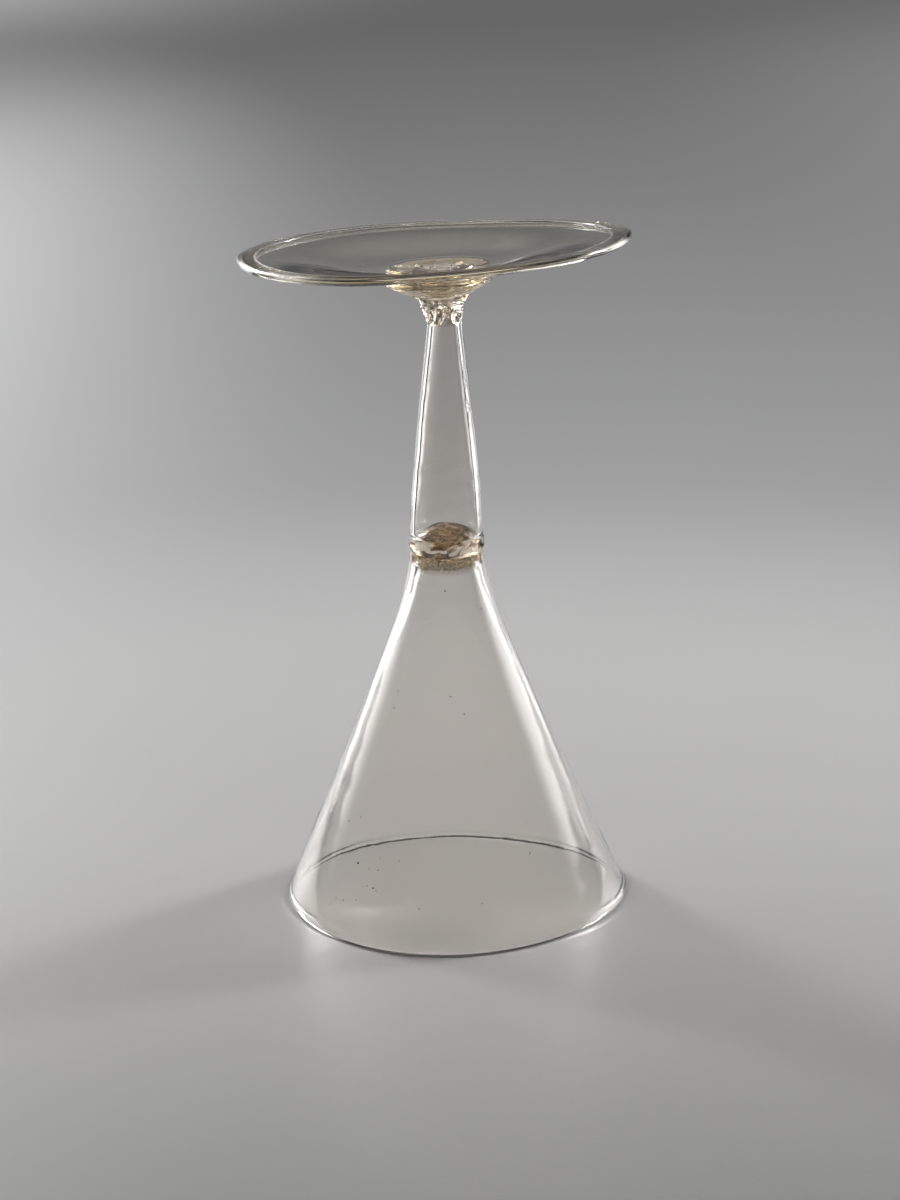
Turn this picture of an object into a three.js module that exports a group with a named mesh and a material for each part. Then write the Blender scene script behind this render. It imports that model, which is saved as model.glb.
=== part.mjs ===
// A stemmed drinking glass of blown soda glass, stood upside down on the rim of its bowl.
// Pieces, from the table up: a conical bowl, a solid collar, a hollow tapered stem,
// a short solid neck, a second collar (the flange), and a foot whose edge is folded over.
// Millimetres, +Z up, z = 0 on the table. Every piece is turned about one straight axis first,
// seated face to face, and then all of them are moved by the same hand-made lean.

import * as THREE from 'three';
import { mergeVertices } from 'three/addons/utils/BufferGeometryUtils.js';

// Bowl
const RIM_RADIUS = 40.2; // outer wall, where the cone meets the table
const BOWL_HEIGHT = 83.6; // table to the collar
const BOWL_NECK_RADIUS = 8.4; // outer wall, against the collar
const BOWL_TURN_DEPTH = 5.8; // the cone turns into the neck this far under the collar
const BOWL_SOFTNESS = 6.1; // how slowly the cone turns into the neck
const BOWL_WALL = 1.3; // across the wall, at the rim
const BOWL_NECK_WALL = 2.1; // across the wall, near the collar
const BOWL_FLOOR = 1.2; // thickness of the closed end
const BOWL_CORNER = 1.6; // radius inside, between wall and closed end
const RIM_BEAD_RADIUS = 0.95; // the rim is rounded in the fire
const RIM_WEAR = 0.15; // flat worn on the bead by standing and stacking

// Collar between bowl and stem
const COLLAR_HEIGHT = 3.6;
const COLLAR_RADIUS = 8.7;
const COLLAR_SEAT_RADIUS = 8.3; // its two flat faces
const DOME_HEIGHT = 2.4; // the collar swells into the open end of the stem
const DOME_CLEARANCE = 0.25; // around the dome, inside the stem

// Hollow stem
const STEM_LENGTH = 48.8;
const STEM_WIDE_RADIUS = 8.5; // at the collar
const STEM_NARROW_RADIUS = 3.9; // at the neck
const STEM_SWELL = 8.6; // length of the nearly straight part at the wide end
const STEM_WIDE_WALL = 1.4;
const STEM_NARROW_WALL = 1.25;

// Solid neck under the flange
const NECK_HEIGHT = 6.6;
const NECK_WIDE_RADIUS = 6.3;
const NECK_FLARE_HEIGHT = 0.6; // share of its height at which the neck turns outwards
const NECK_FLARE_WIDTH = 0.3; // share of its widening that lies under that

// Flange, the collar that carries the foot
const FLANGE_HEIGHT = 5.3;
const FLANGE_RADIUS = 12.1;
const FLANGE_TOP_RADIUS = 11.3;
const FLANGE_EDGE_HEIGHT = 3.3; // height of the widest line over the neck
const FLANGE_EDGE_RADIUS = 0.6;
const FLANGE_BELLY_WIDTH = 1.8; // how far out and up its rounded underside
const FLANGE_BELLY_HEIGHT = 0.9; // turns towards the edge
const FLANGE_SHOULDER = 0.6; // share of the way from the widest line to the top
const FLANGE_SEAT_MARGIN = 0.1; // how far its lower end reaches past the neck
const FLANGE_OFFSET = -0.7; // set off the axis of the neck, along X

// Foot
const FOOT_RADIUS = 44.0;
const FOOT_DISH = 4.3; // how far its middle lies below its edge
const FOOT_CURL = 0.6; // 0 is a straight funnel, 1 is level at both ends
const FOOT_MIDDLE = 1.4; // thickness in the middle
const FOOT_PLATE = 0.7; // thickness under the fold
const FOLD_WIDTH = 4.5;
const FOLD_LAYER = 0.65; // thickness of the folded layer
const FOLD_SLOT = 0.25; // open slot between plate and folded layer
const FOLD_CHANNEL = 0.55; // the slot widens to this where the glass turns round
const PONTIL_RADIUS = 4.6; // scar left by the rod that held the glass
const PONTIL_HEIGHT = 0.45;
const PONTIL_SLOPE = 1.25; // share of its radius where the scar runs out
const PONTIL_PIT = 0.6; // share of its radius inside its raised ring
const PONTIL_PIT_HEIGHT = 0.3; // shares of its height at the pit's edge
const PONTIL_MIDDLE_HEIGHT = 0.5; // and in the middle
const FOOT_OFFSET = -1.6; // set off the axis of the neck, along X

// Glass joints on a sloping plane keep this much air
const SLOPING_JOINT = 0.05;

// The hand-made lean: how far the real glass is from straight
const BOWL_SHIFT = -0.35; // the bowl's axis moves this far along X over its height
const STEM_SHIFT = 0.65; // the stem's axis moves this far along X over its length
const NECK_SHIFT = -0.4; // the neck's axis moves this far along X over its height
const RIM_LOBE = 1.15; // three-lobed rim, out of round by this much
const RIM_LOBE_TURN = 20.3; // degrees from +X to the first lobe
const RIM_LOBE_DEPTH = 10; // height over which the lobes die out
const FOOT_TILT_SIDE = 2.43; // degrees, +X side up
const FOOT_TILT_BACK = -0.52; // degrees, +Y side up
// Waves of the foot's edge: how many round the edge, height, degrees from +X to the crest
const FOOT_WAVES = [
  { count: 2, height: 0.52, turn: -19.7 },
  { count: 3, height: 0.1, turn: 26.1 },
  { count: 4, height: 0.16, turn: 10.5 },
];

// Heights of the joints
const COLLAR_Z = BOWL_HEIGHT;
const STEM_Z = COLLAR_Z + COLLAR_HEIGHT;
const NECK_Z = STEM_Z + STEM_LENGTH;
const FLANGE_Z = NECK_Z + NECK_HEIGHT + SLOPING_JOINT;
const FOOT_Z = FLANGE_Z + FLANGE_HEIGHT + SLOPING_JOINT;

// Facets round each piece
const BOWL_FACETS = 60;
const COLLAR_FACETS = 40;
const STEM_FACETS = 36;
const FLANGE_FACETS = 48;
const FOOT_FACETS = 66;
const WALL_CROWDING = 1.8; // draws the rings of the bowl's walls together towards the collar

const { cos, exp, log, max, PI, sin, sqrt, tan } = Math;
const rad = THREE.MathUtils.degToRad;
const lerp = THREE.MathUtils.lerp;
const share = (value, from, length) => THREE.MathUtils.clamp((value - from) / length, 0, 1);
const smooth = (value, from, to) => THREE.MathUtils.smoothstep(value, from, to);
const point = (r, z) => new THREE.Vector2(r, z);

// Points of a circular arc about (r, z), from one angle to another in degrees, ends included
function arc(r, z, radius, from, to, steps) {
  return Array.from({ length: steps + 1 }, (_, i) => {
    const angle = rad(lerp(from, to, i / steps));
    return point(max(r + radius * cos(angle), 0), z + radius * sin(angle));
  });
}

// Points along a radius that depends on the height, closer together towards the end
// where crowding is over 1
function wall(radiusAt, from, to, steps, crowding = 1) {
  return Array.from({ length: steps + 1 }, (_, i) => {
    const z = lerp(to, from, (1 - i / steps) ** crowding);
    return point(radiusAt(z), z);
  });
}

// Points along a height that depends on the radius
function face(heightAt, from, to, steps) {
  return Array.from({ length: steps + 1 }, (_, i) => {
    const r = lerp(from, to, i / steps);
    return point(r, heightAt(r));
  });
}

// Turned solid about Z. The outline goes round its section with the glass on the left.
function turned(outline, facets) {
  const lathe = new THREE.LatheGeometry(outline, facets);
  lathe.rotateX(PI / 2);
  lathe.deleteAttribute('normal');
  lathe.deleteAttribute('uv');
  return mergeVertices(lathe, 1e-5);
}

// Outer wall of the bowl: a cone that turns softly into the neck
const BOWL_TURN_Z = BOWL_HEIGHT - BOWL_TURN_DEPTH;
const easing = (z) => BOWL_SOFTNESS * log(1 + exp((BOWL_TURN_Z - z) / BOWL_SOFTNESS));
const BOWL_TAPER = (RIM_RADIUS - BOWL_NECK_RADIUS) / (easing(0) - easing(BOWL_HEIGHT));
const bowlOuter = (z) => BOWL_NECK_RADIUS + BOWL_TAPER * (easing(z) - easing(BOWL_HEIGHT));
const bowlWall = (z) => lerp(BOWL_WALL, BOWL_NECK_WALL, (z / BOWL_HEIGHT) ** 3);
const bowlInner = (z) => bowlOuter(z) - bowlWall(z) * sqrt(1 + BOWL_TAPER ** 2);

function bowlOutline() {
  const bead = RIM_BEAD_RADIUS;
  const beadZ = bead - RIM_WEAR;
  const beadR = RIM_RADIUS - bead;
  const wallZ = 2 * bead;
  const ceiling = BOWL_HEIGHT - BOWL_FLOOR;
  const corner = BOWL_CORNER;
  const inside = wall(bowlInner, wallZ, ceiling - corner, 13, WALL_CROWDING).reverse();
  const wearAngle = THREE.MathUtils.radToDeg(Math.acos(beadZ / bead));
  return [
    point(0, ceiling),
    ...arc(bowlInner(ceiling - corner) - corner, ceiling - corner, corner, 90, 0, 4),
    ...inside.slice(1),
    ...arc(beadR, beadZ, bead, -200, -90 - wearAngle, 4),
    ...arc(beadR, beadZ, bead, -90 + wearAngle, 10, 5),
    ...wall(bowlOuter, wallZ, BOWL_HEIGHT, 14, WALL_CROWDING),
    point(0, BOWL_HEIGHT),
  ];
}

// Bore of the stem and its outside, as radius at a height over the stem's wide end
const stemOutside = new THREE.QuadraticBezierCurve(
  point(STEM_WIDE_RADIUS, 0),
  point(STEM_WIDE_RADIUS, STEM_SWELL),
  point(STEM_NARROW_RADIUS, STEM_LENGTH),
);
const stemBore = new THREE.QuadraticBezierCurve(
  point(STEM_WIDE_RADIUS - STEM_WIDE_WALL, 0),
  point(STEM_WIDE_RADIUS - STEM_WIDE_WALL, STEM_SWELL),
  point(STEM_NARROW_RADIUS - STEM_NARROW_WALL, STEM_LENGTH),
);

function stemOutline() {
  const outside = stemOutside.getPoints(12);
  const bore = stemBore.getPoints(12).reverse();
  return [...outside, ...bore, outside[0].clone()];
}

// Solid disc with a swollen edge and a dome that fills the open end of the stem
function collarOutline() {
  const bulge = COLLAR_RADIUS - COLLAR_SEAT_RADIUS;
  const edge = (z) => COLLAR_SEAT_RADIUS + bulge * sin((PI * z) / COLLAR_HEIGHT);
  const domeR = STEM_WIDE_RADIUS - STEM_WIDE_WALL - DOME_CLEARANCE;
  const sphere = (domeR ** 2 + DOME_HEIGHT ** 2) / (2 * DOME_HEIGHT);
  const dome = (r) => COLLAR_HEIGHT + DOME_HEIGHT - sphere + sqrt(sphere ** 2 - r ** 2);
  return [point(0, 0), ...wall(edge, 0, COLLAR_HEIGHT, 6), ...face(dome, domeR, 0, 6)];
}

// Solid neck, drawn out from the stem's narrow end to the flange
function neckOutline() {
  const flare = new THREE.QuadraticBezierCurve(
    point(STEM_NARROW_RADIUS, 0),
    point(lerp(STEM_NARROW_RADIUS, NECK_WIDE_RADIUS, NECK_FLARE_WIDTH), NECK_HEIGHT * NECK_FLARE_HEIGHT),
    point(NECK_WIDE_RADIUS, NECK_HEIGHT),
  );
  return [point(0, 0), ...flare.getPoints(8), point(0, NECK_HEIGHT)];
}

// Flange: a flat end over the whole neck, a rounded underside, a thin edge, and a flat top
// for the foot
const FLANGE_SEAT_RADIUS = NECK_WIDE_RADIUS + Math.abs(FLANGE_OFFSET) + FLANGE_SEAT_MARGIN;
function flangeOutline() {
  const rounding = arc(
    FLANGE_RADIUS - FLANGE_EDGE_RADIUS,
    FLANGE_EDGE_HEIGHT,
    FLANGE_EDGE_RADIUS,
    -60,
    25,
    4,
  );
  const underside = new THREE.QuadraticBezierCurve(
    point(FLANGE_SEAT_RADIUS, 0),
    point(FLANGE_SEAT_RADIUS + FLANGE_BELLY_WIDTH, FLANGE_BELLY_HEIGHT),
    rounding[0],
  );
  const shoulderR = lerp(FLANGE_RADIUS, FLANGE_TOP_RADIUS, FLANGE_SHOULDER);
  const shoulderZ = lerp(FLANGE_EDGE_HEIGHT, FLANGE_HEIGHT, FLANGE_SHOULDER);
  return [
    point(0, 0),
    ...underside.getPoints(5),
    ...rounding.slice(1),
    point(shoulderR, shoulderZ),
    point(FLANGE_TOP_RADIUS, FLANGE_HEIGHT),
    point(0, FLANGE_HEIGHT),
  ];
}

// Underside of the foot: flat on the flange, then a shallow funnel up to the fold
const FOOT_SEAT_RADIUS = FLANGE_RADIUS;
const FOLD_START = FOOT_RADIUS - FOLD_WIDTH;
function footUnder(r) {
  const t = share(r, FOOT_SEAT_RADIUS, FOLD_START - FOOT_SEAT_RADIUS);
  return FOOT_DISH * (t - (FOOT_CURL * sin(2 * PI * t)) / (2 * PI));
}
const plateAt = (r) => lerp(FOOT_MIDDLE, FOOT_PLATE, smooth(r, FOOT_SEAT_RADIUS, FOLD_START));
const footUpper = (r) => footUnder(r) + plateAt(r);

// Section of the foot: out along the underside, round the edge, back along the folded layer,
// into the slot that it leaves, and home along the upper side to the scar in the middle
function footOutline() {
  const slotFloor = FOOT_DISH + FOOT_PLATE;
  const slotRoof = slotFloor + FOLD_SLOT;
  const foldTop = slotRoof + FOLD_LAYER;
  const half = foldTop / 2 - FOOT_DISH / 2;
  const edgeR = FOOT_RADIUS - half;
  const channel = FOLD_CHANNEL / 2;
  const channelZ = FOOT_DISH + half;
  const channelR = edgeR - channel;
  return [
    point(0, 0),
    point(FOOT_SEAT_RADIUS, 0),
    ...face(footUnder, FOOT_SEAT_RADIUS, FOLD_START, 7).slice(1),
    ...arc(edgeR, FOOT_DISH + half, half, -90, 90, 8),
    point(FOLD_START + FOLD_LAYER / 2, foldTop),
    point(FOLD_START, (foldTop + slotRoof) / 2),
    point(FOLD_START + FOLD_LAYER / 3, slotRoof),
    ...arc(channelR, channelZ, channel, 90, -90, 4),
    point(FOLD_START + FOLD_LAYER / 3, slotFloor),
    ...face(footUpper, FOLD_START, FOOT_SEAT_RADIUS, 7),
    point(PONTIL_RADIUS * PONTIL_SLOPE, FOOT_MIDDLE),
    point(PONTIL_RADIUS, FOOT_MIDDLE + PONTIL_HEIGHT),
    point(PONTIL_RADIUS * PONTIL_PIT, FOOT_MIDDLE + PONTIL_HEIGHT * PONTIL_PIT_HEIGHT),
    point(0, FOOT_MIDDLE + PONTIL_HEIGHT * PONTIL_MIDDLE_HEIGHT),
  ];
}

// Where the glass's axis lies at a height, as an offset along X from the bowl's rim
function axisX(z) {
  const bowl = BOWL_SHIFT * share(z, 0, BOWL_HEIGHT);
  const stem = STEM_SHIFT * share(z, STEM_Z, STEM_LENGTH);
  const neck = NECK_SHIFT * share(z, NECK_Z, NECK_HEIGHT);
  return bowl + stem + neck;
}

// The foot is the widest piece, so its middle is the middle of the whole
const FOOT_X = axisX(FOOT_Z) + FOOT_OFFSET;

// Move a point of the straight glass to its place on the real one
function lean(v) {
  const angle = Math.atan2(v.y, v.x);
  const lobe = cos(3 * (angle - rad(RIM_LOBE_TURN))) * exp(-v.z / RIM_LOBE_DEPTH);
  const swell = 1 + (RIM_LOBE * lobe) / RIM_RADIUS;
  const sloping = smooth(v.z, NECK_Z, NECK_Z + NECK_HEIGHT);
  const slope = tan(rad(FOOT_TILT_SIDE)) * v.x + tan(rad(FOOT_TILT_BACK)) * v.y;
  v.x = v.x * swell + axisX(v.z);
  v.y *= swell;
  v.z += sloping * slope;
}

// The wavy edge of the foot, in the foot's own frame
function wave(v) {
  const angle = Math.atan2(v.y, v.x);
  const outward = share(Math.hypot(v.x, v.y), FOOT_SEAT_RADIUS, FOOT_RADIUS - FOOT_SEAT_RADIUS);
  for (const { count, height, turn } of FOOT_WAVES) {
    v.z += height * outward ** 2 * cos(count * (angle - rad(turn)));
  }
}

// Seat a turned piece at its height and offset, and lean it with the rest
function seated(name, geometry, material, z, x = 0) {
  const places = geometry.attributes.position;
  const v = new THREE.Vector3();
  for (let i = 0; i < places.count; i += 1) {
    v.fromBufferAttribute(places, i);
    v.x += x;
    v.z += z;
    lean(v);
    places.setXYZ(i, v.x, v.y, v.z - z);
  }
  geometry.computeVertexNormals();
  const mesh = new THREE.Mesh(geometry, material);
  mesh.name = name;
  mesh.position.set(-FOOT_X, 0, z);
  return mesh;
}

function footGeometry() {
  const geometry = turned(footOutline(), FOOT_FACETS);
  const places = geometry.attributes.position;
  const v = new THREE.Vector3();
  for (let i = 0; i < places.count; i += 1) {
    v.fromBufferAttribute(places, i);
    wave(v);
    places.setXYZ(i, v.x, v.y, v.z);
  }
  return geometry;
}

const glass = (color, roughness) =>
  new THREE.MeshStandardMaterial({ color, roughness, metalness: 0, transparent: true, opacity: 0.4 });
const clearGlass = glass(0xdfe2dc, 0.05);
const thickGlass = glass(0xcdc3ab, 0.08);

const glassware = new THREE.Group();
glassware.add(
  seated('bowl', turned(bowlOutline(), BOWL_FACETS), clearGlass.clone(), 0),
  seated('bowl_collar', turned(collarOutline(), COLLAR_FACETS), thickGlass.clone(), COLLAR_Z),
  seated('stem', turned(stemOutline(), STEM_FACETS), clearGlass.clone(), STEM_Z),
  seated('foot_neck', turned(neckOutline(), STEM_FACETS), thickGlass.clone(), NECK_Z),
  seated(
    'foot_flange',
    turned(flangeOutline(), FLANGE_FACETS),
    thickGlass.clone(),
    FLANGE_Z,
    FLANGE_OFFSET,
  ),
  seated('foot', footGeometry(), clearGlass.clone(), FOOT_Z, FOOT_OFFSET),
);

export default glassware;
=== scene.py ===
"""The looks of a stemmed drinking glass of blown soda glass, stood upside down on its rim.

Each piece of glass is turned about one straight axis as a fine closed mesh, wobbled as hand work is,
and then moved by the lean of the real glass. Where two pieces are fused, both are closed by the same
flat face, which lets light straight through, so that no film of air shows between them.
Lengths are millimetres until a mesh or a light is made, and metres after that.
"""

import math

import bpy
import numpy as np
from mathutils import Matrix, Vector
from mathutils.bvhtree import BVHTree


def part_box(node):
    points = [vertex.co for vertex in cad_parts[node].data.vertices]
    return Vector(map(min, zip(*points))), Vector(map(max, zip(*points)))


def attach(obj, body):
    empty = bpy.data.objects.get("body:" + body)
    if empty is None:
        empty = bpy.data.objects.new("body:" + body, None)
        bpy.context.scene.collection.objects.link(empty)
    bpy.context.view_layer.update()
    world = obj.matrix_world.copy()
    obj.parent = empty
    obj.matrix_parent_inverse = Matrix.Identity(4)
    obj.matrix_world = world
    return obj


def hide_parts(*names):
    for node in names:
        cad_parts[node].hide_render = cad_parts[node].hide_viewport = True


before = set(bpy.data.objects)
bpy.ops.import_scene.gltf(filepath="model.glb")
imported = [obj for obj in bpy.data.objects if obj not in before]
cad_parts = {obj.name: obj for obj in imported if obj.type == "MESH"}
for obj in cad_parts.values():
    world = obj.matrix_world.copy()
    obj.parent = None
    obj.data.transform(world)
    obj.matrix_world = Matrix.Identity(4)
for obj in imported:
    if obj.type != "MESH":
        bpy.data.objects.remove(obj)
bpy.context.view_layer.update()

MM = 0.001


def bottom(node):
    """Height of the lowest point of a node of the frame, in millimetres."""
    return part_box(node)[0].z / MM


# Heights of the joints
COLLAR_Z = bottom("bowl_collar")
STEM_Z = bottom("stem")
NECK_Z = bottom("foot_neck")
NECK_HEIGHT = 6.6
FLANGE_Z = NECK_Z + NECK_HEIGHT
FLANGE_HEIGHT = 5.4
FOOT_Z = FLANGE_Z + FLANGE_HEIGHT

# Bowl
RIM_RADIUS = 40.2
BOWL_NECK_RADIUS = 8.4
BOWL_TURN_DEPTH = 5.8
BOWL_SOFTNESS = 6.1
BOWL_WALL = 1.3
BOWL_NECK_WALL = 2.1
BOWL_FLOOR = 1.2
BOWL_CORNER = 1.6
RIM_BEAD_RADIUS = 0.95
RIM_WEAR = 0.15

# Radii at which two pieces are fused
BOWL_JOINT_RADIUS = 8.3
STEM_JOINT_RADIUS = 8.35

# Collar, stem and neck
COLLAR_RADIUS = 8.75
DOME_HEIGHT = 2.4
STEM_LENGTH = NECK_Z - STEM_Z
STEM_WIDE_RADIUS = 8.5
STEM_NARROW_RADIUS = 3.9
STEM_SWELL = 8.6
STEM_WIDE_WALL = 1.4
STEM_NARROW_WALL = 1.25
NECK_WIDE_RADIUS = 6.3
NECK_FLARE_HEIGHT = 0.6  # share of its height at which the neck turns outwards
NECK_FLARE_WIDTH = 0.3  # share of its widening that lies under that
BORE_END_HEIGHT = 4.7  # the bore's rounded end reaches this far into the neck

# Flange and foot
FLANGE_RADIUS = 12.1
FLANGE_TOP_RADIUS = 11.3
FLANGE_EDGE_HEIGHT = 3.3
FLANGE_EDGE_RADIUS = 0.6
FLANGE_BELLY = (2.6, 0.9)  # how far out and up from the neck its rounded underside turns
FLANGE_SHOULDER = (0.45, 1.6)  # how far in and up from its edge its side begins
FLANGE_OFFSET = -0.7
FOOT_RADIUS = 44.0
FOOT_DISH = 4.3
FOOT_CURL = 0.6  # 0 is a straight funnel, 1 is level at both ends
FOOT_MIDDLE = 1.4
FOOT_PLATE = 0.7
FOLD_WIDTH = 4.5
FOLD_START = FOOT_RADIUS - FOLD_WIDTH
FOLD_LAYER = 0.65
FOLD_SLOT = 0.25
FOLD_CHANNEL = 0.55
PONTIL_RADIUS = 4.6  # scar left by the rod that held the glass
PONTIL_HEIGHT = 0.45
PONTIL_SLOPE = 1.25  # share of its radius where the scar runs out
PONTIL_PIT = 0.6  # share of its radius inside its raised ring
PONTIL_PIT_HEIGHT = 0.3  # shares of its height at the pit's edge
PONTIL_MIDDLE_HEIGHT = 0.5  # and in the middle
FOOT_OFFSET = -1.6
FOOT_OFFSET_END = 26  # radius at which all of that is reached

# The lean of the real glass
BOWL_SHIFT = -0.35
STEM_SHIFT = 0.65
NECK_SHIFT = -0.4
RIM_LOBE = 1.15
RIM_LOBE_TURN = math.radians(20.3)
RIM_LOBE_DEPTH = 10
FOOT_TILT_SIDE = math.radians(2.43)
FOOT_TILT_BACK = math.radians(-0.52)
# Waves of the foot's edge: how many round it, their height, and the angle of the first
FOOT_WAVES = ((2, 0.52, math.radians(-19.7)), (3, 0.1, math.radians(26.1)), (4, 0.16, math.radians(10.5)))

SEGMENTS = 240
RIPPLE_WAVES = 14  # waves that add up to one irregular surface
SHARP_ANGLE = math.radians(50)
GLASS, FUSED = 0, 1  # material slots of a piece of glass; a piece of one material uses the first
rng = np.random.default_rng(7)

# The camera, fitted to the photograph of 900 by 1200 pixels
CAMERA_PLACE = Vector((1.876, -672.0, 255.6))
CAMERA_PITCH = math.radians(15.322)
CAMERA_ROLL = math.radians(1.241)
CAMERA_LENS = 90.7
SENSOR = 36.0
PHOTO_WIDTH, PHOTO_HEIGHT = 900, 1200

# Specks on the near wall of the bowl: their pixel in the photograph and their size
SPECKS = (
    (349, 821, 0.2), (358, 863, 0.26), (378, 870, 0.2), (369, 869, 0.16), (367, 886, 0.18), (373, 888, 0.22),
    (376, 891, 0.18), (336, 898, 0.2), (343, 900, 0.14), (356, 900, 0.14), (330, 905, 0.16), (419, 909, 0.18),
    (380, 858, 0.12), (399, 861, 0.12), (445, 591, 0.2),
)
CRUST_DEPTH = 3.0  # how far the crust reaches down the wall from the closed end
END_GRAINS, WALL_GRAINS = 300, 1500  # grains of the crust, before its ragged lower edge is cut
FILM_DEPTH = 3.7  # how far the tan film reaches down
FILM_GAPS = (0.03, 0.08)  # where its two faces are, off the wall
CLOUD_RADIUS = 5.4  # of the brown cloud in the collar
BROWN_FOLD = (0.84, 0.75, 0.6)  # the colour of the fold in the middle of its near side
GLASS_IOR = 1.5

# The floor and the room, with lengths in metres
FLOOR_RADIUS = 9.0
FLOOR_SIDES = 96
FLOOR_GAP = 0.03  # millimetres of air under the rim
FLOOR_COLOUR = (0.5, 0.497, 0.492)
# Between these distances from a centre the floor changes from lit to a glow of its own
FADE_CENTRE = (0.0, -0.1)
FADE = (0.2, 0.55)
# The tone of that glow at its centre, from where it falls, and the least that it falls to
LIT_CENTRE = (0.0, 0.1)
LIT_TONE = 0.465
ROOM_TONE = 0.135
# Light that spills on the floor: its centre, its size both ways, the share that is even, and its tone
GLOWS = (
    ((-0.42, 0.75), (0.42, 1.85), 0.0, 0.55),
    ((-1.5, 3.5), (1.6, 2.5), 0.0, 0.7),
    ((0.6, 1.6), (0.5, 1.6), 0.0, 0.1),
)
# Pools of light under the lamps, given the same way, which only the glass shows
POOLS = (
    ((-0.36, 0.46), (0.24, 0.34), 0.5, 1.1),
    ((-0.7, 1.0), (0.4, 0.6), 0.4, 1.1),
    ((0.4, 0.45), (0.24, 0.34), 0.5, 1.0),
    ((0.78, 0.95), (0.36, 0.5), 0.4, 1.1),
)
# The floor that the glass shows is dark between the second and third of these values of X / Y
DARK_LEFT = (-4.5, -3.5, -1.0, -0.93)
DARK_RIGHT = (1.15, 1.25, 3.5, 4.5)
DARK_TONE = 0.03
# The room as it is seen falls from the first tone to the second between two heights of the view
WALL_TONES = (0.21, 0.015)
WALL_HEIGHTS = (0.03, 0.3)
FILL = 0.14  # the light that comes from it

# Softboxes: azimuth, elevation, distance, size, power and the faded share at each side and end
LAMPS = {
    "strip_left": (131, 28, 1.2, (0.24, 0.5), 12.5, (0.3, 0.3)),
    "strip_right": (30, 28, 1.2, (0.24, 0.5), 14.5, (0.3, 0.3)),
    "panel_left": (134, 22, 1.0, (1.3, 0.78), 7.3, (0.35, 0.06)),
    "panel_right": (32, 22, 1.0, (1.1, 0.78), 7.0, (0.35, 0.06)),
    "low_left": (120, 0, 1.0, (0.8, 0.13), 0.25, (0.1, 0.2)),
    "low_right": (45, 0, 1.0, (0.5, 0.13), 0.14, (0.15, 0.2)),
    "top_light": (90, 75, 1.6, (1.0, 1.0), 3.5, (0.15, 0.15)),
}
LAMP_AIM = (0, 0, 0.06)


# Turned shapes: an outline is a list of runs of points (radius, height), with the glass on its left


def row(start, end, step=0.5):
    """Points on a straight line."""
    start, end = np.array(start, float), np.array(end, float)
    count = max(2, int(np.ceil(np.linalg.norm(end - start) / step)) + 1)
    return start + np.linspace(0, 1, count)[:, None] * (end - start)


def arc(centre, radius, start, end, steps):
    """Points on a circular arc, with its angles in degrees."""
    angle = np.radians(np.linspace(start, end, steps + 1))
    return np.array(centre) + radius * np.stack([np.cos(angle), np.sin(angle)], 1)


def bezier(a, b, c, steps):
    """Points on a quadratic curve."""
    t = np.linspace(0, 1, steps + 1)[:, None]
    return (1 - t) ** 2 * np.array(a) + 2 * t * (1 - t) * np.array(b) + t**2 * np.array(c)


def graph(radius_at, start, end, steps):
    """Points along a radius that depends on the height."""
    z = np.linspace(start, end, steps + 1)
    return np.stack([radius_at(z), z], 1)


def join(runs):
    """Runs of points as one run without doubled points."""
    points = np.concatenate(runs)
    keep = np.r_[True, np.linalg.norm(np.diff(points, axis=0), axis=1) > 1e-4]
    return points[keep]


def soften(points, step, passes):
    """The run with points a step apart and its corners rounded. Its ends stay."""
    along = np.r_[0, np.cumsum(np.linalg.norm(np.diff(points, axis=0), axis=1))]
    places = np.linspace(0, along[-1], max(3, int(round(along[-1] / step)) + 1))
    even = np.stack([np.interp(places, along, points[:, k]) for k in (0, 1)], 1)
    for _ in range(passes):
        even[1:-1] = (even[:-2] + 2 * even[1:-1] + even[2:]) / 4
    return even


def turned(runs, segments=SEGMENTS):
    """Points and faces of a solid turned about Z. Each run is its points and its material slot."""
    outline = [runs[0][0][0]]
    slots = []
    for points, slot in runs:
        fresh = points[1:] if np.linalg.norm(points[0] - outline[-1]) < 1e-4 else points
        outline.extend(fresh)
        slots.extend([slot] * len(fresh))
    angle = np.linspace(0, 2 * np.pi, segments, endpoint=False)
    circle = np.stack([np.cos(angle), np.sin(angle)], 1)
    co, rings = [], []
    for r, z in outline:
        on_axis = r < 1e-6
        rings.append((len(co), on_axis))
        co.extend([(0, 0, z)] if on_axis else [(r * c, r * s, z) for c, s in circle])
    faces, face_slots = [], []
    for k, slot in enumerate(slots):
        (a, a_axis), (b, b_axis) = rings[k], rings[k + 1]
        for j in range(segments):
            n = (j + 1) % segments
            if a_axis:
                faces.append((a, b + n, b + j))
            elif b_axis:
                faces.append((a + j, a + n, b))
            else:
                faces.append((a + j, a + n, b + n, b + j))
            face_slots.append(slot)
    return np.array(co, float), faces, face_slots


# The hand-made lean, and slow irregular waves in the walls


def share(value, start, length):
    """How much of a length a value has passed, from 0 to 1."""
    return np.clip((value - start) / length, 0, 1)


def smooth(value, start, end):
    """The same from a start to an end, eased at both."""
    t = share(value, start, end - start)
    return t * t * (3 - 2 * t)


def axis_x(z):
    """Where the axis lies at a height, as an offset from the bowl's rim."""
    bowl = BOWL_SHIFT * share(z, 0, COLLAR_Z)
    stem = STEM_SHIFT * share(z, STEM_Z, STEM_LENGTH)
    neck = NECK_SHIFT * share(z, NECK_Z, NECK_HEIGHT)
    return bowl + stem + neck


FOOT_X = float(axis_x(FOOT_Z)) + FOOT_OFFSET


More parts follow.
